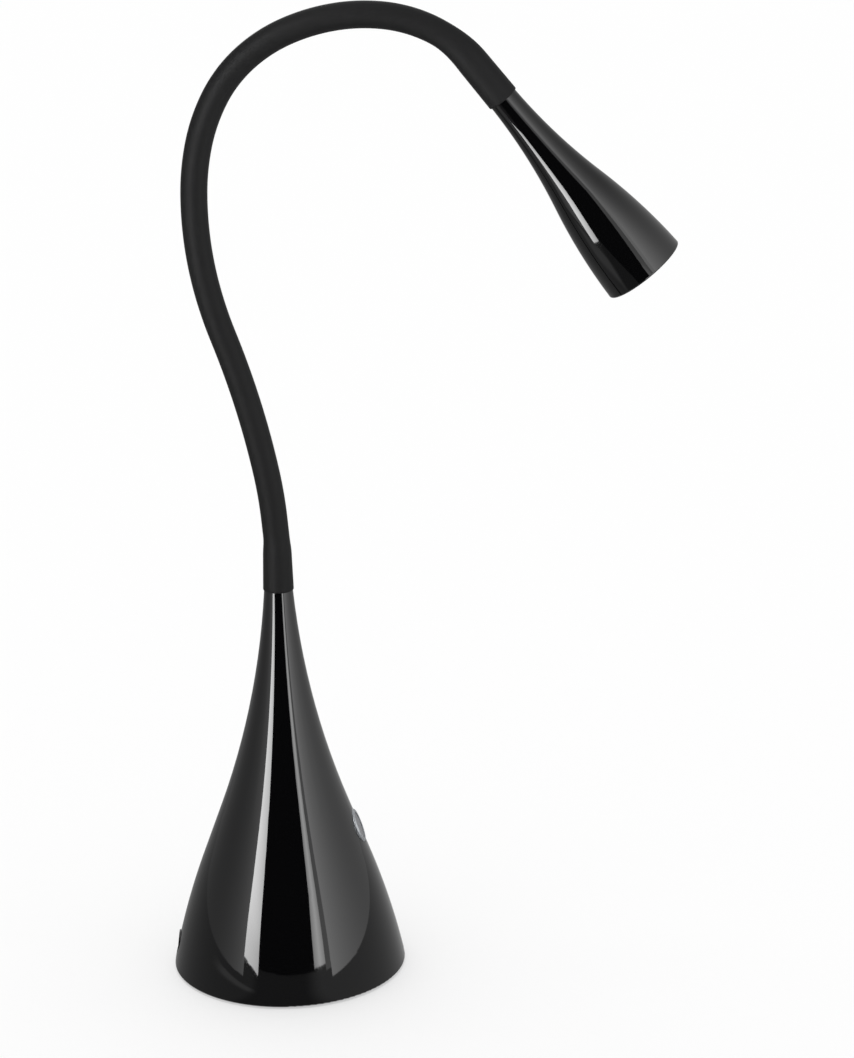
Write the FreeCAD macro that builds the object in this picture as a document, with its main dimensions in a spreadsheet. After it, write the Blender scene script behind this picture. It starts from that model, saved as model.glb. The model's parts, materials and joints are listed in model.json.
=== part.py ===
import FreeCAD, Part
import math
import os
import Sketcher
from FreeCAD import Placement, Rotation, Vector

# Gooseneck desk lamp: a weighted trumpet base, a bendable neck in a silicone sleeve and a small
# LED head. The origin is the centre of the foot pad's underside, +Z is up and +X is the front,
# the side that the button and the head are on. The power inlet is at the back. Millimetres.

SIZES = [
    # Base shell: an outline of a foot arc, a straight flank and a hollow arc up to the neck
    ("foot_radius", 57.45, "widest part of the base, at the table"),
    ("foot_gap", 0.8, "the shell's rim above the table"),
    ("foot_round", 0.8, "rounding of the rim"),
    ("hip_inset", 15.85, "how far the foot arc draws in, up to the straight flank"),
    ("hip_height", 56.8, "height where it runs into the flank"),
    ("flank_slope", 20.4, "lean of the straight flank from upright, degrees"),
    ("shoulder_height", 84.0, "where the flank runs into the hollow arc"),
    ("base_top_radius", 6.98, "outside of the shell under the sleeve"),
    ("base_height", 195.6, "top of the shell"),
    ("shell_wall", 2.4, "moulded wall of the base"),
    ("nut_room", 2.41, "between the collar nut's corners and the shell"),
    ("post_inset", 7.95, "circle of the four cover screws inside the foot's outline"),
    ("post_radius", 3.5, "screw post inside the shell"),
    ("post_run", 62.0, "height over which a post stands clear of the flank"),
    ("cover_lip", 1.6, "shell left outside the cover's edge"),
    # Underside
    ("cover_gap", 0.3, "clearance round the cover"),
    ("cover_thick", 3.0, "bottom cover"),
    ("pad_margin", 1.9, "cover left between the foot pad and the screw heads"),
    ("pad_recess", 0.4, "depth of the pad's seat in the cover"),
    ("fit_gap", 0.15, "clearance round pieces that sit in a seat"),
    ("cover_screw_radius", 1.1, "shank of a cover screw"),
    ("cover_screw_length", 9.0, "shank beyond the head"),
    ("cover_head_radius", 2.6, "head of a cover screw"),
    ("cover_head_thick", 1.5, "its thickness"),
    ("thread_gap", 0.05, "clearance of a screw in its pilot hole"),
    # Weight and driver board
    ("weight_room", 2.5, "between the screw posts and the cast disc that weighs the lamp down"),
    ("weight_thick", 12.0, "its thickness"),
    ("weight_bevel", 1.5, "bevel of its edges"),
    ("weight_slot_width", 18.0, "slot that clears the inlet"),
    ("weight_slot_room", 2.35, "between the inlet lead's middle and the slot's inner end"),
    ("weight_screw_ring", 28.0, "circle of the three weight screws"),
    ("weight_screw_radius", 2.0, "shank"),
    ("weight_screw_head", 3.8, "countersunk head"),
    ("weight_screw_length", 8.5, "over all"),
    ("spacer_radius", 2.8, "board spacer"),
    ("spacer_height", 6.0, "board above the weight"),
    ("board_length", 56.0, "driver board along X"),
    ("board_width", 36.0, "driver board along Y"),
    ("board_thick", 1.6, "glass-fibre board"),
    ("board_screw_radius", 1.2, "shank of a board screw"),
    ("board_screw_head", 2.3, "head of a board screw"),
    ("board_screw_head_thick", 1.4, "its thickness"),
    ("board_screw_length", 9.5, "shank under the head"),
    ("board_hole_inset", 3.8, "holes from the board's edges"),
    ("coil_radius", 5.0, "rims of the drum inductor"),
    ("coil_height", 7.0, "its height"),
    ("coil_waist", 3.9, "its wound middle"),
    ("coil_rim", 1.2, "thickness of each rim"),
    ("parts_across", 8.0, "coil and capacitor from the board's middle"),
    ("parts_along", 9.0, "coil, capacitor and chip from the board's middle line"),
    ("can_radius", 4.0, "electrolytic capacitor"),
    ("can_height", 11.5, "its height"),
    ("can_bead", 0.5, "rounding and bead of the can"),
    ("chip_length", 5.0, "driver chip"),
    ("chip_width", 4.0, "driver chip"),
    ("chip_thick", 1.6, "driver chip"),
    ("chip_across", 6.0, "chip from the board's middle"),
    ("socket_length", 7.5, "wire socket along its row"),
    ("socket_depth", 5.8, "wire socket across its row"),
    ("socket_height", 7.0, "wire socket"),
    ("lead_radius", 1.1, "two-core lead inside the base"),
    ("lead_straight", 3.8, "inlet lead straight behind the inlet"),
    ("lead_clear", 4.5, "inlet lead outside the board's edge, where it rises"),
    ("lead_rise", 10.2, "that place above the weight"),
    ("lead_lean", 2.0, "how far the lead leans in as it rises"),
    ("lead_loop", 6.1, "top of its loop above the sockets"),
    ("lead_loop_fall", 1.0, "start of the loop below its top"),
    ("switch_lead_straight", 8.0, "switch lead straight behind its board"),
    ("switch_lead_inset", 8.0, "its turn inside its socket"),
    ("switch_lead_drop", 19.8, "its turn below the button"),
    ("switch_lead_above", 8.0, "its last turn above the sockets"),
    # Power inlet
    ("inlet_height", 10.8, "its centre above the table"),
    ("inlet_tilt", 6.0, "its rise towards the outside, degrees"),
    ("inlet_flange_radius", 6.0, "face ring"),
    ("inlet_flange_thick", 1.1, "face ring"),
    ("inlet_barrel_radius", 4.2, "threaded barrel"),
    ("inlet_length", 12.0, "flange face to back"),
    ("inlet_bore_radius", 2.9, "mouth for a 5.5 mm plug"),
    ("inlet_bore_depth", 9.5, "depth of the mouth"),
    ("inlet_pin_radius", 1.0, "centre pin for a 2.1 mm plug"),
    ("inlet_pin_set_back", 1.0, "pin tip behind the face"),
    ("inlet_tag_length", 3.0, "pin's solder end behind the body"),
    ("inlet_pad_radius", 6.6, "flat pad inside the shell for the nut"),
    ("inlet_pad_depth", 4.2, "face of that pad behind the inlet's face"),
    ("inlet_nut_across", 11.0, "nut across its flats"),
    ("inlet_nut_thick", 2.0, "nut"),
    # Push button, in its own line square to the flank
    ("button_height", 71.8, "its centre above the table"),
    ("ring_radius", 8.75, "bright ring round the button"),
    ("ring_proud", 0.4, "ring above the flank at its middle"),
    ("ring_seat_depth", 1.15, "seat of the ring in the wall"),
    ("ring_bevel", 0.6, "bevel of the ring's outer edge"),
    ("ring_barrel_radius", 7.5, "barrel of the ring through the wall"),
    ("ring_barrel_depth", 6.0, "end of the barrel behind the flank"),
    ("cap_radius", 6.4, "push cap"),
    ("cap_gap", 0.25, "running clearance round the cap"),
    ("cap_dish", 60.0, "radius of the dish in the cap's face"),
    ("cap_flange_radius", 7.2, "rim that keeps the cap in"),
    ("cap_flange_thick", 1.0, "that rim"),
    ("cap_wall", 1.4, "wall of the cap"),
    ("cap_stem_radius", 1.8, "stem that presses the switch"),
    ("cap_travel", 0.5, "how far the button goes in"),
    ("cap_play", 0.2, "gap between the cap's rim and the barrel's end"),
    ("plunger_radius", 1.7, "plunger of the switch"),
    ("plunger_length", 2.6, "plunger of the switch"),
    ("plunger_show", 1.4, "plunger above the switch's body"),
    ("switch_width", 6.0, "body of the switch"),
    ("switch_thick", 3.5, "body of the switch"),
    ("switch_board_length", 26.0, "small board behind the button"),
    ("switch_board_width", 10.0, "small board behind the button"),
    ("switch_post_radius", 2.2, "posts that carry the small board"),
    ("switch_post_spread", 10.6, "posts from the button's middle"),
    ("switch_screw_radius", 0.95, "shank of its screws"),
    ("switch_screw_head", 1.9, "head of its screws"),
    # Neck: fittings, core and sleeve
    ("neck_start", 24.0, "first joint of the neck above the shell"),
    ("neck_finish", 35.0, "last joint in the bend from the sleeve's end"),
    ("core_radius", 3.8, "steel core of the neck"),
    ("core_bore", 2.4, "way for the leads through it"),
    ("core_gap", 0.3, "between a rounded end and its cup"),
    ("sleeve_radius", 6.35, "silicone sleeve"),
    ("sleeve_bore", 5.15, "its bore"),
    ("sleeve_foot_radius", 7.45, "sleeve's end on the base"),
    ("sleeve_foot_mid", 6.95, "its swell near the fitting's top"),
    ("sleeve_foot_run", 17.0, "from the shell to there"),
    ("sleeve_foot_end", 24.0, "end of the swell"),
    ("sleeve_head_radius", 7.65, "sleeve's end on the head"),
    ("sleeve_head_mid", 7.35, "its swell near the fitting's end"),
    ("sleeve_head_run", 22.0, "from the head to there"),
    ("sleeve_head_end", 30.0, "end of the swell"),
    ("sleeve_step", 0.1, "swell above the sleeve where it ends"),
    ("fitting_radius", 5.6, "fitting inside the sleeve"),
    ("fitting_flange", 6.1, "its flange"),
    ("fitting_flange_thick", 1.6, "its flange"),
    ("thread_radius", 5.0, "lower fitting's thread"),
    ("thread_run", 8.0, "thread below the collar"),
    ("neck_nut_across", 14.0, "nut under the collar"),
    ("neck_nut_thick", 4.0, "nut under the collar"),
    ("washer_radius", 7.6, "spring washer"),
    ("washer_thick", 1.0, "spring washer"),
    ("core_lead_radius", 0.8, "lamp lead in the neck"),
    ("core_lead_bend", 15.0, "its bends inside the core"),
    # Head, along its own axis from the end of the sleeve
    ("head_root_radius", 7.0, "head at the sleeve"),
    ("head_waist_radius", 13.8, "where its two arcs meet"),
    ("head_waist_at", 55.0, "from the sleeve"),
    ("head_slope", 13.0, "flare where they meet, degrees"),
    ("head_mouth_radius", 20.5, "mouth"),
    ("head_length", 105.0, "from the sleeve to the mouth"),
    ("head_lip", 1.6, "wall at the mouth"),
    ("head_lip_round", 0.7, "rounding of the mouth's edge"),
    ("head_collar", 22.0, "solid plastic round the upper thread"),
    ("head_thread_radius", 4.0, "upper fitting's thread"),
    ("head_nut_across", 11.0, "nut in the head"),
    ("head_nut_thick", 3.5, "nut in the head"),
    ("head_nut_room", 6.7, "inside of the head round the nut"),
    ("sink_radius", 13.8, "heat sink"),
    ("sink_length", 10.0, "heat sink behind its flange"),
    ("sink_flange_radius", 15.9, "flange on the head's ledge"),
    ("sink_flange_thick", 2.5, "flange on the head's ledge"),
    ("sink_ledge_at", 76.0, "ledge in the head"),
    ("sink_groove_depth", 3.0, "grooves of the heat sink"),
    ("sink_groove_width", 1.6, "grooves of the heat sink"),
    ("sink_bore", 2.2, "way for the leads"),
    ("led_board_radius", 12.0, "LED board"),
    ("led_board_thick", 1.6, "LED board"),
    ("led_width", 7.0, "LED"),
    ("led_thick", 1.0, "LED"),
    ("led_dot_radius", 2.6, "yellow dome of the LED"),
    ("led_screw_ring", 8.5, "circle of the LED board's screws"),
    ("led_screw_radius", 1.1, "shank"),
    ("led_screw_head", 2.0, "head"),
    ("led_screw_head_thick", 1.2, "head"),
    ("led_screw_length", 6.0, "shank under the head"),
    ("reflector_small", 5.0, "reflector at the LED"),
    ("reflector_wall", 0.9, "wall of the reflector"),
    ("reflector_large", 16.2, "reflector at the lens"),
    ("lens_at", 90.2, "back of the lens"),
    ("lens_radius", 17.1, "front lens"),
    ("lens_thick", 2.0, "front lens"),
    ("lens_seat", 17.3, "step in the head round the lens"),
    ("lens_ring_thick", 2.0, "ring that holds the lens"),
    ("lens_ring_bore", 15.6, "its opening"),
]

# The neck as the photograph shows it: stretches of its line from the base, each with its
# length and with how far it turns towards the front, in degrees.
NECK_STRETCHES = [
    (22.0, 0.0),
    (29.0, -9.5),
    (80.0, -10.5),
    (70.5, 22.5),
    (35.0, 17.5),
    (49.0, 42.5),
    (48.5, 30.0),
    (49.5, 42.5),
    (26.0, 6.5),
]
BENDS = 16                   # joints that bend the neck towards the front or the back
SIDEWAYS_AFTER = (3, 7, 11, 16)  # a joint that bends it sideways is half a stretch past these

doc = FreeCAD.newDocument("gooseneck_lamp")
sheet = doc.addObject("Spreadsheet::Sheet", "Sizes")


class Size:
    """A length or angle: its value now, and the expression that ties it to the sheet."""

    def __init__(self, value, text):
        self.value = value
        self.text = text

    def __add__(self, other):
        return Size(self.value + sized(other).value, f"({self.text} + {sized(other).text})")

    def __sub__(self, other):
        return Size(self.value - sized(other).value, f"({self.text} - {sized(other).text})")

    def __mul__(self, other):
        return Size(self.value * sized(other).value, f"({self.text} * {sized(other).text})")

    def __truediv__(self, other):
        return Size(self.value / sized(other).value, f"({self.text} / {sized(other).text})")

    def __neg__(self):
        return Size(-self.value, f"(0 - {self.text})")


def sized(thing):
    return thing if isinstance(thing, Size) else Size(float(thing), repr(float(thing)))


def sine(angle):
    return Size(math.sin(math.radians(angle.value)), f"sin({angle.text} * 1 deg)")


def cosine(angle):
    return Size(math.cos(math.radians(angle.value)), f"cos({angle.text} * 1 deg)")


def root(square):
    return Size(math.sqrt(square.value), f"sqrt({square.text})")


class Sheet:
    """The sheet's sizes by name."""


size = Sheet()
for row, (alias, value, note) in enumerate(SIZES, start=1):
    sheet.set(f"A{row}", alias)
    sheet.set(f"B{row}", str(value))
    sheet.set(f"C{row}", note)
    sheet.setAlias(f"B{row}", alias)
    setattr(size, alias, Size(value, f"Sizes.{alias}"))
doc.recompute()

pieces = []
ZERO = sized(0)


# Ways to make a piece

def new_body(label):
    body = doc.addObject("PartDesign::Body", label)
    body.Label = label
    return body


def own_plane(body, role):
    return [feature for feature in body.Origin.OriginFeatures if feature.Role == role][0]


def tie(sketch, kind, name, value, *places):
    """A constraint of that kind, bound to a size."""
    number = sketch.addConstraint(Sketcher.Constraint(kind, *places, value.value))
    sketch.renameConstraint(number, name)
    sketch.setExpression(f"Constraints.{name}", value.text)


def new_sketch(body, name, role, level=ZERO):
    sketch = body.newObject("Sketcher::SketchObject", name)
    sketch.AttachmentSupport = [(own_plane(body, role), "")]
    sketch.MapMode = "FlatFace"
    sketch.AttachmentOffset = Placement(Vector(0, 0, level.value), Rotation())
    sketch.setExpression("AttachmentOffset.Base.z", level.text)
    return sketch


def arc_between(start, end, turn, radius):
    """The arc, and which of its ends is first and last on the way from start to end."""
    across = end - start
    left = Vector(-across.y, across.x, 0).normalize()
    side = 1 if turn == "left" else -1
    rise = math.sqrt(radius ** 2 - (across.Length / 2) ** 2)
    centre = (start + end) * 0.5 + left * (side * rise)
    circle = Part.Circle(centre, Vector(0, 0, 1), radius)
    if turn == "left":
        return Part.ArcOfCircle(circle, circle.parameter(start), circle.parameter(end)), 1, 2
    return Part.ArcOfCircle(circle, circle.parameter(end), circle.parameter(start)), 2, 1


def outline(body, name, corners, role="XZ_Plane", level=ZERO):
    """A closed outline. A corner is (across, up), or (across, up, turn, radius) where the side
    that ends there is an arc that turns left or right."""
    sketch = new_sketch(body, name, role, level)
    corners = [tuple(map(sized, corner[:2])) + tuple(corner[2:]) for corner in corners]
    spots = [Vector(corner[0].value, corner[1].value, 0) for corner in corners]
    ends = []
    for number, corner in enumerate(corners):
        start, end = spots[number - 1], spots[number]
        side, first, last = Part.LineSegment(start, end), 1, 2
        if len(corner) == 4:
            side, first, last = arc_between(start, end, corner[2], sized(corner[3]).value)
        sketch.addGeometry(side)
        ends.append((first, last))
    for number, corner in enumerate(corners):
        after = (number + 1) % len(corners)
        last = ends[number][1]
        sketch.addConstraint(
            Sketcher.Constraint("Coincident", number, last, after, ends[after][0]))
        tie(sketch, "DistanceX", f"across_{number}", corner[0], -1, 1, number, last)
        tie(sketch, "DistanceY", f"up_{number}", corner[1], -1, 1, number, last)
        if len(corner) == 4:
            tie(sketch, "Radius", f"radius_{number}", sized(corner[3]), number)
    return sketch


def turned(body, name, corners, cut=False):
    """Turns an outline of (radius, height) corners about the body's upright axis."""
    kind = "PartDesign::Groove" if cut else "PartDesign::Revolution"
    sketch = outline(body, name + "_outline", corners)
    feature = body.newObject(kind, name)
    feature.Profile = sketch
    feature.ReferenceAxis = (sketch, ["V_Axis"])
    feature.Angle = 360
    return feature


def raised(body, name, sketch, height, cut=False):
    """Pads a flat outline upwards, or cuts it out upwards."""
    feature = body.newObject("PartDesign::Pocket" if cut else "PartDesign::Pad", name)
    feature.Profile = sketch
    feature.Reversed = cut
    feature.Length = height.value
    feature.setExpression("Length", height.text)
    return feature


def rounds(body, name, spots, radius, level):
    """Circles of one radius about the given spots."""
    sketch = new_sketch(body, name, "XY_Plane", level)
    for number, (across, along) in enumerate(spots):
        across, along = sized(across), sized(along)
        centre = Vector(across.value, along.value, 0)
        sketch.addGeometry(Part.Circle(centre, Vector(0, 0, 1), radius.value))
        tie(sketch, "Radius", f"radius_{number}", radius, number)
        tie(sketch, "DistanceX", f"across_{number}", across, -1, 1, number, 3)
        tie(sketch, "DistanceY", f"along_{number}", along, -1, 1, number, 3)
    return sketch


def pegs(body, name, spots, radius, low, high, cut=False):
    """Round pegs, or round holes, between two heights."""
    raised(body, name, rounds(body, name + "_circles", spots, radius, low), high - low, cut)


def ring_of(radius, count, first=0.0):
    """Evenly spaced spots on a circle."""
    angles = [math.radians(first + 360.0 * number / count) for number in range(count)]
    return [(radius * round(math.cos(a), 12), radius * round(math.sin(a), 12)) for a in angles]


def rectangle(length, width, across=ZERO, along=ZERO):
    length, width = sized(length), sized(width)
    return [
        (across - length / 2, along - width / 2),
        (across + length / 2, along - width / 2),
        (across + length / 2, along + width / 2),
        (across - length / 2, along + width / 2),
    ]


def hexagon(across_flats):
    corner = across_flats / math.sqrt(3)
    return ring_of(corner, 6)


def slab(body, name, corners, low, high, cut=False):
    """A flat outline between two heights."""
    raised(body, name, outline(body, name + "_outline", corners, "XY_Plane", low), high - low, cut)


def seat(piece, frame):
    """Stands a finished piece in its place, and counts it as one of the lamp's pieces."""
    piece.Placement = frame
    pieces.append(piece)
    return piece


def line_up(across, height, heading):
    """A place in the lamp's middle plane whose own +Z leans from upright towards the front."""
    return Placement(Vector(across, 0, height), Rotation(Vector(0, 1, 0), heading))


UPRIGHT = Placement()


def rod(name, frame, low, high, radius, across=ZERO, along=ZERO):
    """A round rod for joining to a shell or cutting from it."""
    piece = doc.addObject("Part::Cylinder", name)
    for place, value in (("Radius", sized(radius)), ("Height", high - low)):
        setattr(piece, place, value.value)
        piece.setExpression(place, value.text)
    foot = Vector(sized(across).value, sized(along).value, low.value)
    piece.Placement = frame.multiply(Placement(foot, Rotation()))
    return piece


def joined(name, *parts):
    piece = doc.addObject("Part::MultiFuse", name)
    piece.Shapes = list(parts)
    return piece


def shared(name, first, second):
    piece = doc.addObject("Part::MultiCommon", name)
    piece.Shapes = [first, second]
    return piece


def less(name, whole, away):
    piece = doc.addObject("Part::Cut", name)
    piece.Base = whole
    piece.Tool = away
    piece.Label = name
    return piece


def solid_from(name, shape):
    piece = doc.addObject("Part::Feature", name)
    piece.Label = name
    piece.Shape = shape
    return piece


def arc_radius(across, along, slope):
    """The radius of an arc that leaves a point at that slope and ends so far across and along."""
    off_line = along * sine(slope) - across * cosine(slope)
    return (across * across + along * along) / (off_line * 2)


# Heights that several pieces share

cover_top = size.foot_gap + size.cover_thick
weight_top = cover_top + size.weight_thick
board_low = weight_top + size.spacer_height
board_top = board_low + size.board_thick

# Outside of the base

hip_radius = size.foot_radius - size.hip_inset
shoulder_radius = (hip_radius - (size.shoulder_height - size.hip_height)
                   * sine(size.flank_slope) / cosine(size.flank_slope))
foot_arc = arc_radius(size.hip_inset, size.hip_height - size.foot_gap - size.foot_round,
                      size.flank_slope)
neck_arc = arc_radius(shoulder_radius - size.base_top_radius,
                      size.base_height - size.shoulder_height, size.flank_slope)
foot_centre = (hip_radius - foot_arc * cosine(size.flank_slope),
               size.hip_height - foot_arc * sine(size.flank_slope))
neck_centre = (shoulder_radius + neck_arc * cosine(size.flank_slope),
               size.shoulder_height + neck_arc * sine(size.flank_slope))


# The collar is solid down to where the shell is wide enough inside for the nut
nut_reach = size.neck_nut_across / math.sqrt(3) + size.nut_room
inner_arc = neck_arc + size.shell_wall
collar_floor = neck_centre[1] - root(
    inner_arc * inner_arc - (neck_centre[0] - nut_reach) * (neck_centre[0] - nut_reach))

# Pieces that stand inside the foot
post_ring = size.foot_radius - size.post_inset
pad_radius = post_ring - size.cover_head_radius - size.pad_margin
weight_radius = post_ring - size.post_radius - size.weight_room


def below_hip(height, inset):
    """Radius of the foot arc at a height, that far inside the outer surface."""
    up = height - foot_centre[1]
    return foot_centre[0] + root((foot_arc - inset) * (foot_arc - inset) - up * up)


def above_shoulder(height, inset):
    """Radius of the hollow arc at a height, that far inside the outer surface."""
    up = height - neck_centre[1]
    return neck_centre[0] - root((neck_arc + inset) * (neck_arc + inset) - up * up)


def inside(radius, height, inset):
    """A point on the flank, moved that far into the wall."""
    return radius - inset * cosine(size.flank_slope), height - inset * sine(size.flank_slope)


def down_the_inside(floor, inset):
    """The inner side of the wall from the collar down to a floor."""
    return [
        (above_shoulder(collar_floor, inset), collar_floor),
        (*inside(shoulder_radius, size.shoulder_height, inset), "left", neck_arc + inset),
        inside(hip_radius, size.hip_height, inset),
        (below_hip(floor, inset), floor, "right", foot_arc - inset),
    ]


flank_normal = 90 - size.flank_slope.value
button_radius = (hip_radius - (size.button_height - size.hip_height)
                 * sine(size.flank_slope) / cosine(size.flank_slope))
button_line = line_up(button_radius.value, size.button_height.value, flank_normal)
inlet_radius = below_hip(size.inlet_height, ZERO)
inlet_line = line_up(-inlet_radius.value, size.inlet_height.value, size.inlet_tilt.value - 90)

# The inlet lead runs straight behind the inlet, then up to a place beside the driver board
past_inlet = size.inlet_length + size.inlet_tag_length + size.lead_straight
lead_low = (inlet_radius - past_inlet * cosine(size.inlet_tilt),
            size.inlet_height - past_inlet * sine(size.inlet_tilt))
lead_high = (size.board_length / 2 + size.lead_clear, weight_top + size.lead_rise)
lead_crossing = lead_low[0] + (lead_high[0] - lead_low[0]) * (
    (weight_top - lead_low[1]) / (lead_high[1] - lead_low[1]))

cap_back = -(size.ring_barrel_depth + size.cap_play + size.cap_flange_thick)
plunger_top = cap_back - size.cap_wall
plunger_low = plunger_top - size.plunger_length
switch_top = plunger_top - size.plunger_show
switch_low = switch_top - size.switch_thick
switch_board_low = switch_low - size.board_thick
switch_posts = [(ZERO, size.switch_post_spread), (ZERO, -size.switch_post_spread)]


def make_base_shell():
    """The moulded trumpet, with its collar, screw posts, switch posts and seats."""
    seat_radius = size.foot_radius - size.cover_lip
    bore = size.thread_radius + size.fit_gap
    wall = new_body("shell_wall")
    turned(wall, "trumpet", [
        (seat_radius, size.foot_gap),
        (size.foot_radius - size.foot_round, size.foot_gap),
        (size.foot_radius, size.foot_gap + size.foot_round, "left", size.foot_round),
        (hip_radius, size.hip_height, "left", foot_arc),
        (shoulder_radius, size.shoulder_height),
        (size.base_top_radius, size.base_height, "right", neck_arc),
        (bore, size.base_height),
        (bore, collar_floor),
        *down_the_inside(cover_top, size.shell_wall),
        (seat_radius, cover_top),
    ])
    middle = new_body("room_for_posts")
    turned(middle, "post_room", [
        (0, collar_floor), *down_the_inside(cover_top, size.shell_wall / 2), (0, cover_top)])
    posts = [
        rod(f"cover_post_{number}", UPRIGHT, cover_top, cover_top + size.post_run,
            size.post_radius, across, along)
        for number, (across, along) in enumerate(ring_of(post_ring, 4, 45), start=1)
    ]
    posts += [
        rod(f"switch_post_{number}", button_line, switch_low, ZERO, size.switch_post_radius,
            across, along)
        for number, (across, along) in enumerate(switch_posts, start=1)
    ]
    posts.append(rod("inlet_pad", inlet_line, -size.inlet_pad_depth, ZERO, size.inlet_pad_radius))
    standing = shared("posts_in_the_shell", joined("all_posts", *posts), middle)
    solid = joined("shell_with_posts", wall, standing)

    screw_hole = size.cover_screw_radius + size.thread_gap
    switch_hole = size.switch_screw_radius + size.thread_gap
    past_wall = size.shell_wall * 2
    holes = [
        rod(f"cover_pilot_{number}", UPRIGHT, cover_top, cover_top + size.cover_screw_length,
            screw_hole, across, along)
        for number, (across, along) in enumerate(ring_of(post_ring, 4, 45), start=1)
    ]
    holes += [
        rod(f"switch_pilot_{number}", button_line, switch_low, switch_low + size.plunger_length * 2,
            switch_hole, across, along)
        for number, (across, along) in enumerate(switch_posts, start=1)
    ]
    holes += [
        rod("ring_seat", button_line, -size.ring_seat_depth, past_wall,
            size.ring_radius + size.fit_gap),
        rod("ring_hole", button_line, -size.ring_barrel_depth, past_wall,
            size.ring_barrel_radius + size.fit_gap),
        rod("inlet_seat", inlet_line, -size.inlet_flange_thick, past_wall,
            size.inlet_flange_radius + size.fit_gap),
        rod("inlet_hole", inlet_line, -size.inlet_length, past_wall,
            size.inlet_barrel_radius + size.fit_gap),
    ]
    seat(less("base_shell", solid, joined("shell_holes", *holes)), UPRIGHT)


def make_underside():
    """Bottom cover, its screws and the foot pad."""
    edge = size.foot_radius - size.cover_lip - size.cover_gap
    recess_top = size.foot_gap + size.pad_recess
    screw_spots = ring_of(post_ring, 4, 45)
    weight_spots = ring_of(size.weight_screw_ring, 3)
    head_top = size.foot_gap + size.cover_head_thick + size.fit_gap
    slack = size.fit_gap + size.fit_gap

    cover = new_body("base_cover")
    turned(cover, "disc", [
        (0, recess_top), (pad_radius + size.fit_gap, recess_top),
        (pad_radius + size.fit_gap, size.foot_gap), (edge, size.foot_gap),
        (edge, cover_top), (0, cover_top)])
    pegs(cover, "screw_seats", screw_spots, size.cover_head_radius + slack,
         size.foot_gap, head_top, cut=True)
    pegs(cover, "screw_holes", screw_spots, size.cover_screw_radius + slack,
         head_top, cover_top, cut=True)
    pegs(cover, "weight_seats", weight_spots, size.weight_screw_head + slack,
         recess_top, recess_top + size.pad_recess * 3, cut=True)
    pegs(cover, "weight_holes", weight_spots, size.weight_screw_radius + slack,
         recess_top + size.pad_recess * 3, cover_top, cut=True)
    seat(cover, UPRIGHT)

    pad = new_body("foot_pad")
    turned(pad, "disc", [(0, 0), (pad_radius - size.foot_round, 0),
                         (pad_radius, size.foot_round), (pad_radius, recess_top),
                         (0, recess_top)])
    seat(pad, UPRIGHT)

    screws = new_body("cover_screws")
    pegs(screws, "shanks", screw_spots, size.cover_screw_radius,
         size.foot_gap, cover_top + size.cover_screw_length - size.fit_gap)
    pegs(screws, "heads", screw_spots, size.cover_head_radius,
         size.foot_gap, head_top)
    seat(screws, UPRIGHT)


def make_weight():
    """Cast disc on the cover, and the three screws that hold it."""
    outer, bevel = weight_radius, size.weight_bevel
    spots = ring_of(size.weight_screw_ring, 3)
    recess_top = size.foot_gap + size.pad_recess
    screw_end = recess_top + size.weight_screw_length
    weight = new_body("ballast_disc")
    turned(weight, "disc", [
        (0, cover_top), (outer - bevel, cover_top), (outer, cover_top + bevel),
        (outer, weight_top - bevel), (outer - bevel, weight_top), (0, weight_top)])
    slot_end = outer + bevel
    slot_reach = lead_crossing - size.weight_slot_room
    slot = [(-slot_end, -size.weight_slot_width / 2),
            (-slot_reach, -size.weight_slot_width / 2),
            (-slot_reach, size.weight_slot_width / 2),
            (-slot_end, size.weight_slot_width / 2)]
    slab(weight, "inlet_slot", slot, cover_top, weight_top, cut=True)
    pegs(weight, "tapped_holes", spots, size.weight_screw_radius + size.thread_gap,
         cover_top, screw_end, cut=True)
    pegs(weight, "spacer_holes", board_spots(), size.board_screw_radius + size.thread_gap,
         board_top - size.board_screw_length, weight_top, cut=True)
    seat(weight, UPRIGHT)

    screws = new_body("ballast_screws")
    pegs(screws, "shanks", spots, size.weight_screw_radius, recess_top, screw_end)
    pegs(screws, "heads", spots, size.weight_screw_head, recess_top,
         recess_top + size.pad_recess * 3)
    seat(screws, UPRIGHT)


def board_spots():
    """The four corners where the driver board is screwed down."""
    across = size.board_length / 2 - size.board_hole_inset
    along = size.board_width / 2 - size.board_hole_inset
    return [(across, along), (-across, along), (-across, -along), (across, -along)]


def on_board(across, along):
    """A place on top of the driver board."""
    return Placement(Vector(across.value, along.value, board_top.value), Rotation())


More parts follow.
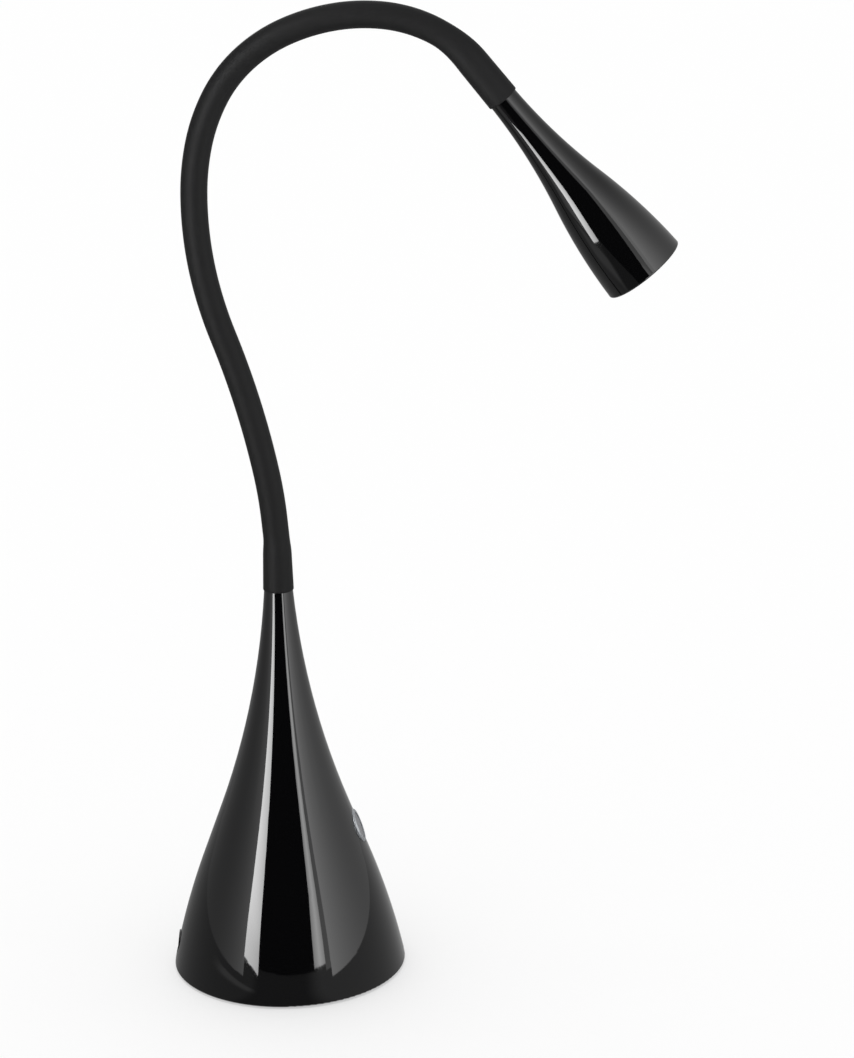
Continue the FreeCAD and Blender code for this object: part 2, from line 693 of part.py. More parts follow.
def make_driver_board():
    """Board on four spacers, with the parts that feed the LED at a steady current."""
    spacers = new_body("board_spacers")
    pegs(spacers, "sleeves", board_spots(), size.spacer_radius, weight_top, board_low)
    pegs(spacers, "bores", board_spots(), size.board_screw_radius + size.thread_gap,
         weight_top, board_low, cut=True)
    seat(spacers, UPRIGHT)

    board = new_body("driver_board")
    slab(board, "plate", rectangle(size.board_length, size.board_width), board_low, board_top)
    pegs(board, "holes", board_spots(), size.board_screw_radius + size.fit_gap,
         board_low, board_top, cut=True)
    seat(board, UPRIGHT)

    screws = new_body("board_screws")
    pegs(screws, "shanks", board_spots(), size.board_screw_radius,
         board_top - size.board_screw_length, board_top)
    pegs(screws, "heads", board_spots(), size.board_screw_head,
         board_top, board_top + size.board_screw_head_thick)
    seat(screws, UPRIGHT)

    coil = new_body("driver_inductor")
    rim, waist, height = size.coil_radius, size.coil_waist, size.coil_height
    turned(coil, "drum", [
        (0, 0), (rim, 0), (rim, size.coil_rim), (waist, size.coil_rim),
        (waist, height - size.coil_rim), (rim, height - size.coil_rim), (rim, height), (0, height)])
    seat(coil, on_board(-size.parts_across, size.parts_along))

    can = new_body("driver_capacitor")
    bead = size.can_bead
    turned(can, "can", [
        (0, 0), (size.can_radius, 0), (size.can_radius, bead * 3),
        (size.can_radius - bead, bead * 4), (size.can_radius, bead * 5),
        (size.can_radius, size.can_height - bead),
        (size.can_radius - bead, size.can_height, "left", bead), (0, size.can_height)])
    seat(can, on_board(size.parts_across, size.parts_along))

    chip = new_body("driver_chip")
    slab(chip, "package", rectangle(size.chip_length, size.chip_width), ZERO, size.chip_thick)
    seat(chip, on_board(-size.chip_across, -size.parts_along))

    sockets = new_body("wire_sockets")
    edge = size.board_length / 2 - size.board_hole_inset
    for name, place in (("inlet_socket", -edge), ("switch_socket", edge)):
        corners = rectangle(size.socket_depth, size.socket_length, place)
        slab(sockets, name, corners, board_top, board_top + size.socket_height)
    corners = rectangle(size.socket_length, size.socket_depth, ZERO, sized(0))
    slab(sockets, "neck_socket", corners, board_top, board_top + size.socket_height)
    seat(sockets, UPRIGHT)


def make_inlet():
    """Round power inlet in the back of the shell, held by a nut on a flat pad inside."""
    flange, barrel, bore = (size.inlet_flange_radius, size.inlet_barrel_radius,
                            size.inlet_bore_radius)
    neck, back = -size.inlet_flange_thick, -size.inlet_length
    floor = -size.inlet_bore_depth
    body = new_body("inlet_body")
    turned(body, "housing", [
        (size.inlet_pin_radius, back), (barrel, back), (barrel, neck), (flange, neck),
        (flange, 0), (bore, 0), (bore, floor), (size.inlet_pin_radius, floor)])
    seat(body, inlet_line)

    pin = new_body("inlet_pin")
    tip = size.inlet_pin_radius / 2
    turned(pin, "contact", [
        (0, back - size.inlet_tag_length), (size.inlet_pin_radius, back - size.inlet_tag_length),
        (size.inlet_pin_radius, -size.inlet_pin_set_back - tip),
        (tip, -size.inlet_pin_set_back, "left", tip), (0, -size.inlet_pin_set_back)])
    seat(pin, inlet_line)

    nut = new_body("inlet_nut")
    face = -size.inlet_pad_depth
    slab(nut, "hexagon", hexagon(size.inlet_nut_across), face - size.inlet_nut_thick, face)
    pegs(nut, "thread", [(ZERO, ZERO)], barrel + size.thread_gap,
         face - size.inlet_nut_thick, face, cut=True)
    seat(nut, inlet_line)


def make_button():
    """Ring, push cap and the small switch behind them, square to the flank."""
    low, barrel = -size.ring_barrel_depth, size.ring_barrel_radius
    bore = size.cap_radius + size.cap_gap
    ring = new_body("button_ring")
    turned(ring, "ring", [
        (bore, low), (barrel, low), (barrel, -size.ring_seat_depth),
        (size.ring_radius, -size.ring_seat_depth),
        (size.ring_radius, size.ring_proud - size.ring_bevel),
        (size.ring_radius - size.ring_bevel, size.ring_proud), (bore, size.ring_proud)])
    seat(ring, button_line)

    rim_top = -(size.ring_barrel_depth + size.cap_play)
    dish = size.cap_dish - root(size.cap_dish * size.cap_dish - size.cap_radius * size.cap_radius)
    face = -size.cap_gap
    inner = size.cap_radius - size.cap_wall
    cap = new_body("button_cap")
    turned(cap, "cap", [
        (0, plunger_top), (size.cap_stem_radius, plunger_top),
        (size.cap_stem_radius, face - size.cap_wall * 2), (inner, face - size.cap_wall * 2),
        (inner, cap_back), (size.cap_flange_radius, cap_back),
        (size.cap_flange_radius, rim_top), (size.cap_radius, rim_top),
        (size.cap_radius, face + dish), (0, face, "right", size.cap_dish)])
    seat(cap, button_line)

    plunger = new_body("switch_plunger")
    turned(plunger, "plunger", [(0, plunger_low), (size.plunger_radius, plunger_low),
                                (size.plunger_radius, plunger_top), (0, plunger_top)])
    seat(plunger, button_line)

    switch = new_body("switch_body")
    slab(switch, "housing", rectangle(size.switch_width, size.switch_width),
         switch_low, switch_top)
    pegs(switch, "well", [(ZERO, ZERO)], size.plunger_radius + size.cap_gap,
         plunger_low - size.cap_travel - size.cap_gap, switch_top, cut=True)
    seat(switch, button_line)

    board = new_body("switch_board")
    plate = rectangle(size.switch_board_width, size.switch_board_length)
    slab(board, "plate", plate, switch_board_low, switch_low)
    pegs(board, "holes", switch_posts, size.switch_screw_radius + size.fit_gap,
         switch_board_low, switch_low, cut=True)
    seat(board, button_line)

    screws = new_body("switch_screws")
    pegs(screws, "shanks", switch_posts, size.switch_screw_radius,
         switch_board_low, switch_low + size.plunger_length)
    pegs(screws, "heads", switch_posts, size.switch_screw_head,
         switch_board_low - size.plunger_show, switch_board_low)
    seat(screws, button_line)


# Line of the neck

bend_pitch = (sum(length for length, turn in NECK_STRETCHES) - size.neck_start.value
              - size.neck_finish.value) / (BENDS - 1)
head_heading = sum(turn for length, turn in NECK_STRETCHES)


def heading_at(along):
    """How far the neck leans from upright, that far along its line."""
    heading = 0.0
    for length, turn in NECK_STRETCHES:
        if along <= length:
            return heading + turn * along / length
        heading += turn
        along -= length
    return heading


def onward(spot, heading, distance):
    way = Vector(math.sin(math.radians(heading)), 0, math.cos(math.radians(heading)))
    return spot + way * distance


def neck_line():
    """The bends of the neck as places, and the heading of the straight run after each."""
    spots = [onward(Vector(0, 0, size.base_height.value), 0, size.neck_start.value)]
    headings = []
    for number in range(BENDS - 1):
        headings.append(heading_at(size.neck_start.value + (number + 0.5) * bend_pitch))
        spots.append(onward(spots[-1], headings[-1], bend_pitch))
    return spots, headings + [head_heading]


bend_spots, run_headings = neck_line()
neck_foot = Vector(0, 0, size.base_height.value)
neck_end = onward(bend_spots[-1], head_heading, size.neck_finish.value)
head_line = line_up(neck_end.x, neck_end.z, head_heading)
side_reach = sized(bend_pitch / 2)


def rounded(corners, reaches):
    """A path through the corners, each rounded by an arc that reaches so far along its sides."""
    sides = []
    last = corners[0]
    for before, corner, after, reach in zip(corners, corners[1:], corners[2:], reaches):
        back, on = (before - corner).normalize(), (after - corner).normalize()
        start, end = corner + back * reach, corner + on * reach
        half = back.getAngle(on) / 2
        to_arc = reach / math.cos(half) - reach * math.tan(half)
        middle = corner + (back + on).normalize() * to_arc
        if (start - last).Length > 1e-6:
            sides.append(Part.LineSegment(last, start).toShape())
        sides.append(Part.Arc(start, middle, end).toShape())
        last = end
    if (corners[-1] - last).Length > 1e-6:
        sides.append(Part.LineSegment(last, corners[-1]).toShape())
    return Part.Wire(sides)


def along_path(path, radius):
    """A round solid along a path, which holds its section times its length."""
    first = path.Edges[0]
    circle = Part.Circle(first.valueAt(first.FirstParameter),
                         first.tangentAt(first.FirstParameter), radius)
    solid = path.makePipeShell([Part.Wire([circle.toShape()])], True, False)
    full = math.pi * radius ** 2 * path.Length
    if abs(solid.Volume - full) > full * 0.01:
        raise ValueError(f"a round solid holds {solid.Volume:.1f} mm3 of {full:.1f}")
    return solid


def make_lower_fitting():
    """Steel fitting that joins the neck to the base, with its washer and nut."""
    collar_top = size.base_height
    cup = size.core_radius + size.core_gap
    cup_centre = collar_top + size.neck_start
    rim = cup_centre - root(cup * cup - size.core_radius * size.core_radius)
    throat = cup_centre - root(cup * cup - size.core_bore * size.core_bore)
    low = collar_floor - size.thread_run
    flange_top = collar_top + size.fitting_flange_thick
    fitting = new_body("lower_ferrule")
    turned(fitting, "tube", [
        (size.core_bore, low), (size.thread_radius, low), (size.thread_radius, collar_top),
        (size.fitting_flange, collar_top), (size.fitting_flange, flange_top),
        (size.fitting_radius, flange_top),
        (size.fitting_radius, rim), (size.core_radius, rim),
        (size.core_bore, throat, "right", cup)])
    seat(fitting, UPRIGHT)

    washer = new_body("neck_washer")
    hole = size.thread_radius + size.fit_gap
    washer_low = collar_floor - size.washer_thick
    turned(washer, "ring", [(hole, washer_low), (size.washer_radius, washer_low),
                            (size.washer_radius, collar_floor), (hole, collar_floor)])
    seat(washer, UPRIGHT)

    nut = new_body("neck_nut")
    nut_low = washer_low - size.neck_nut_thick
    slab(nut, "hexagon", hexagon(size.neck_nut_across), nut_low, washer_low)
    pegs(nut, "thread", [(ZERO, ZERO)], size.thread_radius + size.thread_gap,
         nut_low, washer_low, cut=True)
    seat(nut, UPRIGHT)


def make_core_link(number, spot, heading, length):
    """One length of the steel core: a rounded end in the cup of the length before it."""
    radius, bore = size.core_radius, size.core_bore
    cup = radius + size.core_gap
    rim = length - root(cup * cup - radius * radius)
    throat = length - root(cup * cup - bore * bore)
    link = new_body(f"neck_core_{number:02d}")
    turned(link, "core", [
        (bore, -root(radius * radius - bore * bore)), (radius, 0, "left", radius),
        (radius, rim), (bore, throat, "right", cup)])
    seat(link, line_up(spot.x, spot.z, heading))


def make_core():
    """The core from the lower fitting to the upper one, a length for each joint but the last."""
    number = 0
    for bend, (spot, heading) in enumerate(zip(bend_spots, run_headings), start=1):
        half_way = onward(spot, heading, side_reach.value)
        if bend in SIDEWAYS_AFTER:
            number += 1
            make_core_link(number, spot, heading, side_reach)
            spot = half_way
        if bend < BENDS:
            number += 1
            length = side_reach if bend in SIDEWAYS_AFTER else side_reach * 2
            make_core_link(number, spot, heading, length)


def make_sleeve():
    """Silicone sleeve over the core, swollen where it is pulled over the two fittings."""
    corners = [neck_foot] + bend_spots + [neck_end]
    # the end bends are short, so that the fittings lie in straight runs
    first, last = bend_pitch * 0.2, size.neck_finish.value - size.sleeve_head_end.value
    reaches = [first] + [bend_pitch / 2] * (BENDS - 2) + [last]
    path = rounded(corners, reaches)
    step = size.sleeve_radius + size.sleeve_step
    foot = new_body("sleeve_foot")
    turned(foot, "swell", [
        (0, 0), (size.sleeve_foot_radius, 0), (size.sleeve_foot_mid, size.sleeve_foot_run),
        (step, size.sleeve_foot_end), (0, size.sleeve_foot_end)])
    top = new_body("sleeve_top")
    turned(top, "swell", [
        (0, 0), (0, -size.sleeve_head_end), (step, -size.sleeve_head_end),
        (size.sleeve_head_mid, -size.sleeve_head_run), (size.sleeve_head_radius, 0)])
    foot.Placement = line_up(0, size.base_height.value, 0)
    top.Placement = head_line
    doc.recompute()
    outside = along_path(path, size.sleeve_radius.value).fuse([foot.Shape, top.Shape])
    bore = along_path(path, size.sleeve_bore.value)
    cup = size.core_radius + size.core_gap
    cup_depth = root(cup * cup - size.core_radius * size.core_radius)
    foot_reach = (size.neck_start - cup_depth + size.core_gap).value
    head_reach = (size.neck_finish - side_reach - size.core_radius / 2).value
    room = (size.fitting_radius + size.fit_gap).value
    flange_room = (size.fitting_flange + size.fit_gap).value
    flange_reach = (size.fitting_flange_thick + size.fit_gap).value
    ends = []
    for spot, heading, reach in ((neck_foot, 0, foot_reach),
                                 (neck_end, head_heading + 180, head_reach)):
        way = onward(Vector(), heading, 1)
        ends.append(Part.makeCylinder(room, reach, spot, way))
        ends.append(Part.makeCylinder(flange_room, flange_reach, spot, way))
    sleeve = outside.cut(bore.fuse(ends))
    seat(solid_from("neck_sleeve", sleeve.removeSplitter().Solids[0]), UPRIGHT)


def make_leads():
    """The two short leads in the base, and the lamp lead up through the neck to the LED."""
    socket_top = board_top.value + size.socket_height.value
    edge = size.board_length.value / 2 - size.board_hole_inset.value
    radius = size.lead_radius.value
    tag_end = -(size.inlet_length + size.inlet_tag_length).value
    tag = inlet_line.multVec(Vector(0, 0, tag_end))
    rise = lead_high[0].value
    loop_top = socket_top + size.lead_loop.value
    corners = [tag, Vector(-lead_low[0].value, 0, lead_low[1].value),
               Vector(-rise, 0, lead_high[1].value),
               Vector(-rise + size.lead_lean.value, 0, loop_top - size.lead_loop_fall.value),
               Vector(-edge, 0, loop_top), Vector(-edge, 0, socket_top)]
    path = rounded(corners, [2.6, 3.0, 2.6, 2.9])
    seat(solid_from("inlet_lead", along_path(path, radius)), UPRIGHT)

    board_back = button_line.multVec(Vector(0, 0, switch_board_low.value))
    away = button_line.Rotation.multVec(Vector(0, 0, -1))
    turn_at = Vector(edge - size.switch_lead_inset.value, 0,
                     (size.button_height - size.switch_lead_drop).value)
    corners = [board_back, board_back + away * size.switch_lead_straight.value, turn_at,
               Vector(edge, 0, socket_top + size.switch_lead_above.value),
               Vector(edge, 0, socket_top)]
    path = rounded(corners, [5, 5, 3])
    seat(solid_from("switch_lead", along_path(path, radius)), UPRIGHT)

    reach = size.core_lead_bend.value
    start = Vector(0, 0, socket_top)
    end = onward(neck_end, head_heading, (size.sink_ledge_at + size.sink_flange_thick).value)
    turns = [b - a for a, b in zip([0.0] + run_headings, run_headings)]
    reaches = [reach * math.tan(math.radians(abs(turn)) / 2) for turn in turns]
    path = rounded([start] + bend_spots + [end], reaches)
    seat(solid_from("lamp_lead", along_path(path, size.core_lead_radius.value)), UPRIGHT)


def make_upper_fitting():
    """Steel fitting that joins the neck to the head, with its nut."""
    joint = -(size.neck_finish - side_reach)
    radius, bore = size.core_radius, size.core_bore
    flange_low = -size.fitting_flange_thick
    thread_end = size.head_collar + size.head_nut_thick + size.fit_gap
    widen = joint + radius / 2
    fitting = new_body("upper_ferrule")
    turned(fitting, "tube", [
        (bore, joint - root(radius * radius - bore * bore)), (radius, joint, "left", radius),
        (radius, widen), (size.fitting_radius, widen + radius / 2),
        (size.fitting_radius, flange_low), (size.fitting_flange, flange_low),
        (size.fitting_flange, 0), (size.head_thread_radius, 0),
        (size.head_thread_radius, thread_end), (bore, thread_end)])
    seat(fitting, head_line)

    nut = new_body("head_nut")
    low, high = size.head_collar, size.head_collar + size.head_nut_thick
    slab(nut, "hexagon", hexagon(size.head_nut_across), low, high)
    pegs(nut, "thread", [(ZERO, ZERO)], size.head_thread_radius + size.thread_gap,
         low, high, cut=True)
    seat(nut, head_line)


def make_head_shell():
    """The moulded flared head, with a ledge for the heat sink and a step for the lens."""
    bore = size.head_thread_radius + size.fit_gap
    lip_inside = size.head_mouth_radius - size.head_lip
    lip_back = size.head_length - size.head_lip_round
    root_arc = arc_radius(size.head_waist_radius - size.head_root_radius, size.head_waist_at,
                          size.head_slope)
    mouth_arc = arc_radius(size.head_mouth_radius - size.head_waist_radius,
                           lip_back - size.head_waist_at, size.head_slope)
    sink_room = size.sink_radius + size.fit_gap
    ledge_room = size.sink_flange_radius + size.fit_gap
    ring_top = size.lens_at + size.lens_thick + size.lens_ring_thick
    nut_end = size.head_collar + size.head_nut_thick * 2
    wide_at = size.sink_ledge_at - size.sink_length
    shell = new_body("head_shell")
    turned(shell, "cone", [
        (bore, 0),
        (size.head_root_radius, 0),
        (size.head_waist_radius, size.head_waist_at, "right", root_arc),
        (size.head_mouth_radius, lip_back, "left", mouth_arc),
        (size.head_mouth_radius - size.head_lip_round, size.head_length, "left",
         size.head_lip_round),
        (lip_inside, size.head_length),
        (size.lens_seat, ring_top),
        (size.lens_seat, size.lens_at),
        (size.reflector_large + size.fit_gap, size.lens_at),
        (ledge_room, size.sink_ledge_at),
        (sink_room, size.sink_ledge_at),
        (sink_room, wide_at),
        (size.head_nut_room + size.fit_gap * 4, nut_end),
        (size.head_nut_room, size.head_collar),
        (bore, size.head_collar),
    ])
    seat(shell, head_line)


def make_light():
    """Heat sink, LED on its board, reflector, lens and the ring that holds the lens."""
    ledge = size.sink_ledge_at
    sink_top = ledge + size.sink_flange_thick
    back = ledge - size.sink_length
    inner = size.sink_radius - size.sink_groove_depth
    corners = [(size.sink_bore, back), (size.sink_radius, back)]
    pitch = size.sink_groove_width * 2
    for number in range(3):
        low = back + size.sink_groove_width + pitch * number
        high = low + size.sink_groove_width
        corners += [(size.sink_radius, low), (inner, low), (inner, high), (size.sink_radius, high)]
    corners += [(size.sink_radius, ledge), (size.sink_flange_radius, ledge),
                (size.sink_flange_radius, sink_top), (size.sink_bore, sink_top)]
    spots = ring_of(size.led_screw_ring, 2, 90)
    board_front = sink_top + size.led_board_thick
    screw_end = board_front - size.led_screw_length
    sink = new_body("heat_sink")
    turned(sink, "body", corners)
    pegs(sink, "tapped_holes", spots, size.led_screw_radius + size.thread_gap,
         screw_end, sink_top, cut=True)
    seat(sink, head_line)

    board = new_body("led_board")
    pegs(board, "plate", [(ZERO, ZERO)], size.led_board_radius, sink_top, board_front)
    pegs(board, "holes", spots, size.led_screw_radius + size.fit_gap,
         sink_top, board_front, cut=True)
    seat(board, head_line)

    screws = new_body("led_screws")
    pegs(screws, "shanks", spots, size.led_screw_radius, screw_end, board_front)
    pegs(screws, "heads", spots, size.led_screw_head, board_front,
         board_front + size.led_screw_head_thick)
    seat(screws, head_line)

    led_front = board_front + size.led_thick
    led = new_body("led_emitter")
    slab(led, "package", rectangle(size.led_width, size.led_width), board_front, led_front)
    pegs(led, "dot", [(ZERO, ZERO)], size.led_dot_radius, led_front,
         led_front + size.led_thick / 4)
    seat(led, head_line)

    cone_low = board_front + size.led_screw_head_thick + size.fit_gap
    wall = size.reflector_wall
    reflector = new_body("reflector")
    turned(reflector, "bowl", [
        (size.reflector_small, cone_low), (size.reflector_small + wall, cone_low),
        (size.reflector_large, size.lens_at - wall), (size.reflector_large, size.lens_at),
        (size.reflector_large - wall, size.lens_at)])
    seat(reflector, head_line)

    lens_front = size.lens_at + size.lens_thick
    lens = new_body("front_lens")
    turned(lens, "disc", [(0, size.lens_at), (size.lens_radius, size.lens_at),
                          (size.lens_radius, lens_front), (0, lens_front)])
    seat(lens, head_line)

    ring = new_body("lens_ring")
    ring_top = lens_front + size.lens_ring_thick
    outer = size.lens_seat - size.fit_gap / 3
    turned(ring, "ring", [(size.lens_ring_bore, lens_front), (outer, lens_front),
                          (outer, ring_top), (size.lens_ring_bore + wall, ring_top)])
    seat(ring, head_line)


def write_pieces():
    """Checks the document and writes one file for each piece."""
    doc.recompute()
    faults = [thing.Label for thing in doc.Objects
              if {"Invalid", "Error"} & set(map(str, thing.State))]
    for piece in pieces:
        if piece.Shape.isNull() or not piece.Shape.isValid() or not piece.Shape.Solids:
            faults.append(piece.Label)
    if faults:
        raise RuntimeError("these did not build: " + ", ".join(faults))
    os.makedirs("parts", exist_ok=True)
    for piece in pieces:
        piece.Shape.exportStep(os.path.join("parts", piece.Label + ".step"))
        print(f"{piece.Label:18s} {len(piece.Shape.Solids)} solid {piece.Shape.Volume:10.1f} mm3")


make_base_shell()
make_underside()
make_weight()
make_driver_board()
make_inlet()
make_button()
make_lower_fitting()
make_core()
make_sleeve()
make_leads()
make_upper_fitting()
make_head_shell()
make_light()
write_pieces()
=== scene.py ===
import json
import math

import bmesh
import bpy
from mathutils import Matrix, Vector


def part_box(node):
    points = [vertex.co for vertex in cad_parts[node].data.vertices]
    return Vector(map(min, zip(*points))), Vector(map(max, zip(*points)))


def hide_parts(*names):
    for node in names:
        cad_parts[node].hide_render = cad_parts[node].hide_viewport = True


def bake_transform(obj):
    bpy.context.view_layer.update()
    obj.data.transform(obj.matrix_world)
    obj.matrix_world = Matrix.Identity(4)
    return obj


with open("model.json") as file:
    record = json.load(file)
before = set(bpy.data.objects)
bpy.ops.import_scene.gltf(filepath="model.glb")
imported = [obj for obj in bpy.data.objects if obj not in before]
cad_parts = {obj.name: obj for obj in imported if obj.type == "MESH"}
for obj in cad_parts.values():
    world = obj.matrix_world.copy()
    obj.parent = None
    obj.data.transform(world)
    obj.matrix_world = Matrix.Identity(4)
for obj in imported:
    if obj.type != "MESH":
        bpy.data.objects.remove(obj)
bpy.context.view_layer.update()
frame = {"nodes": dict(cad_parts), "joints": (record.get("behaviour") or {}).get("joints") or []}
MM = 0.001


# Base shell: one injection moulding in black ABS from a polished steel mould, open at the foot.
# Its gloss is even but for faint smears, which soften a reflection here and there.

def linear(hex_code):
    """An sRGB colour such as "1a1a1c" as the linear colour that a shader takes."""
    parts = [int(hex_code[at:at + 2], 16) / 255 for at in (0, 2, 4)]
    return [p / 12.92 if p <= 0.04045 else ((p + 0.055) / 1.055) ** 2.4 for p in parts] + [1.0]


def add(tree, kind, settings=None, links=None):
    """Adds a node with its settings, and with a value or another node's output on each input."""
    node = tree.nodes.new(kind)
    for name, value in (settings or {}).items():
        setattr(node, name, value)
    for name, value in (links or {}).items():
        if isinstance(value, bpy.types.NodeSocket):
            tree.links.new(value, node.inputs[name])
        else:
            node.inputs[name].default_value = value
    return node


def finish(name, **surface):
    """A named material, its node tree and its surface shader, with the values given for it."""
    material = bpy.data.materials.new(name)
    material.use_nodes = True
    tree = material.node_tree
    shader = tree.nodes["Principled BSDF"]
    for socket, value in surface.items():
        shader.inputs[socket.replace("_", " ")].default_value = value
    return material, tree, shader


def grain(tree, millimetres, detail=2.0, roughness=0.5):
    """An even noise over the piece whose features are that size."""
    place = add(tree, "ShaderNodeTexCoord").outputs["Object"]
    return add(tree, "ShaderNodeTexNoise", links={
        "Vector": place, "Scale": 1 / (millimetres * MM), "Detail": detail,
        "Roughness": roughness}).outputs["Fac"]


def spread(tree, value, low, high, over=(0.3, 0.7)):
    """Maps a noise onto the range from low to high."""
    return add(tree, "ShaderNodeMapRange", links={
        "Value": value, "From Min": over[0], "From Max": over[1],
        "To Min": low, "To Max": high}).outputs["Result"]


def tint(tree, value, low, high):
    """Mixes two hex colours by a noise."""
    mix = add(tree, "ShaderNodeMix", {"data_type": "RGBA"})
    tree.links.new(value, mix.inputs["Factor"])
    mix.inputs["A"].default_value = linear(low)
    mix.inputs["B"].default_value = linear(high)
    return mix.outputs["Result"]


def relief(tree, shader, value, depth, strength=1.0):
    """Raises the surface by a noise, to that many millimetres."""
    bump = add(tree, "ShaderNodeBump", links={
        "Height": value, "Distance": depth * MM, "Strength": strength})
    tree.links.new(bump.outputs["Normal"], shader.inputs["Normal"])


def paint(material, *nodes):
    """Gives a material to pieces that come with the frame."""
    for node in nodes:
        for place in frame["nodes"][node].material_slots:
            place.material = material


gloss_abs, tree, shader = finish("polished_black_abs", Base_Color=linear("050506"), IOR=1.5)
smears = spread(tree, grain(tree, 18, 3), 0.015, 0.05)
tree.links.new(smears, shader.inputs["Roughness"])
paint(gloss_abs, "base_shell")


# Underside: a flat cover of black ABS with a spark-eroded grain, held by four zinc-plated
# screws in counterbores, and a round pad of cellular rubber stuck in a shallow recess.

spark_abs, tree, shader = finish("spark_grained_black_abs", Roughness=0.6, IOR=1.5)
pits = grain(tree, 0.7, 1)
tree.links.new(tint(tree, pits, "141415", "1d1d1f"), shader.inputs["Base Color"])
relief(tree, shader, pits, 0.03)
paint(spark_abs, "base_cover")

cell_rubber, tree, shader = finish("black_cell_rubber", Roughness=0.9, IOR=1.45)
cells = grain(tree, 0.9, 3)
tree.links.new(tint(tree, cells, "0e0e0e", "232323"), shader.inputs["Base Color"])
relief(tree, shader, cells, 0.12)
paint(cell_rubber, "foot_pad")

zinc_steel, tree, shader = finish("zinc_plated_steel", Metallic=1.0)
clouds = grain(tree, 1.2, 2)
tree.links.new(tint(tree, clouds, "9ea3a8", "c3c6c8"), shader.inputs["Base Color"])
tree.links.new(spread(tree, clouds, 0.28, 0.45), shader.inputs["Roughness"])
paint(zinc_steel, "cover_screws", "ballast_screws", "board_screws", "switch_screws", "led_screws",
      "inlet_nut", "neck_nut", "neck_washer", "head_nut")


# Weight: a disc of grey cast iron with a sandy skin, left raw but for a thin coat of oil.

cast_iron, tree, shader = finish("sand_cast_iron", Metallic=1.0)
sand = grain(tree, 1.0, 4, 0.6)
tree.links.new(tint(tree, sand, "4a4846", "6d6a66"), shader.inputs["Base Color"])
tree.links.new(spread(tree, sand, 0.45, 0.7), shader.inputs["Roughness"])
relief(tree, shader, sand, 0.15)
paint(cast_iron, "ballast_disc")


# Driver: a green glass-fibre board on nylon sleeves, with a ferrite drum coil in varnished
# copper, a capacitor in an aluminium can, a moulded chip and three white nylon sockets.

solder_mask, tree, shader = finish("green_solder_mask", Roughness=0.25, IOR=1.55)
weave = grain(tree, 1.5, 2)
tree.links.new(tint(tree, weave, "0d4a24", "14602f"), shader.inputs["Base Color"])
paint(solder_mask, "driver_board", "switch_board")

nylon, tree, shader = finish("natural_nylon", Roughness=0.5, IOR=1.53, Subsurface_Weight=0.1,
                             Subsurface_Scale=0.001)
tree.links.new(tint(tree, grain(tree, 4), "d9d5c8", "e6e2d6"), shader.inputs["Base Color"])
paint(nylon, "board_spacers", "wire_sockets", "switch_plunger")

ferrite, tree, shader = finish("sintered_ferrite", Roughness=0.55, IOR=1.8)
tree.links.new(tint(tree, grain(tree, 0.5, 2), "26262a", "3a3a3f"), shader.inputs["Base Color"])
paint(ferrite, "driver_inductor")

can_metal, tree, shader = finish("drawn_aluminium_can", Metallic=1.0)
tree.links.new(tint(tree, grain(tree, 2), "b4b6ba", "cfd1d4"), shader.inputs["Base Color"])
tree.links.new(spread(tree, grain(tree, 3), 0.2, 0.32), shader.inputs["Roughness"])
paint(can_metal, "driver_capacitor")

moulding_epoxy, tree, shader = finish("matt_black_epoxy", Roughness=0.65, IOR=1.55)
tree.links.new(tint(tree, grain(tree, 0.4), "121213", "1c1c1d"), shader.inputs["Base Color"])
paint(moulding_epoxy, "driver_chip", "switch_body")


# Power inlet: a moulded socket for a barrel plug, its body black PBT with a smooth satin face,
# and a nickel-plated brass pin standing in its mouth.

satin_pbt, tree, shader = finish("satin_black_pbt", IOR=1.55)
flow = grain(tree, 0.8)
tree.links.new(tint(tree, flow, "0a0a0b", "121213"), shader.inputs["Base Color"])
tree.links.new(spread(tree, flow, 0.14, 0.24), shader.inputs["Roughness"])
paint(satin_pbt, "inlet_body")

nickel, tree, shader = finish("nickel_plated_brass", Metallic=1.0)
tree.links.new(tint(tree, grain(tree, 1), "c2bba8", "d4cebd"), shader.inputs["Base Color"])
tree.links.new(spread(tree, grain(tree, 1), 0.15, 0.3), shader.inputs["Roughness"])
paint(nickel, "inlet_pin")


# Button: a die-cast ring with a satin chrome plate, and a dished push cap moulded in grey ABS.

chrome, tree, shader = finish("satin_chrome_plate", Metallic=1.0)
haze = grain(tree, 3)
tree.links.new(tint(tree, haze, "a2a5a8", "b0b3b6"), shader.inputs["Base Color"])
tree.links.new(spread(tree, haze, 0.45, 0.55), shader.inputs["Roughness"])
paint(chrome, "button_ring")

grey_abs, tree, shader = finish("satin_grey_abs", Roughness=0.35, IOR=1.5)
tree.links.new(tint(tree, grain(tree, 0.6), "737477", "7b7c7f"), shader.inputs["Base Color"])
paint(grey_abs, "button_cap")


# Core of the neck: ground steel lengths, each with a rounded end in the cup of the one before,
# from the turned fitting in the base to the one in the head. A film of oil keeps them bright.

ground_steel, tree, shader = finish("ground_steel", Metallic=1.0)
rub = grain(tree, 0.8, 2)
tree.links.new(tint(tree, rub, "808387", "9b9ea2"), shader.inputs["Base Color"])
tree.links.new(spread(tree, rub, 0.22, 0.38), shader.inputs["Roughness"])
core_lengths = [name for name in frame["nodes"] if name.startswith("neck_core_")]
paint(ground_steel, "lower_ferrule", "upper_ferrule", *core_lengths)
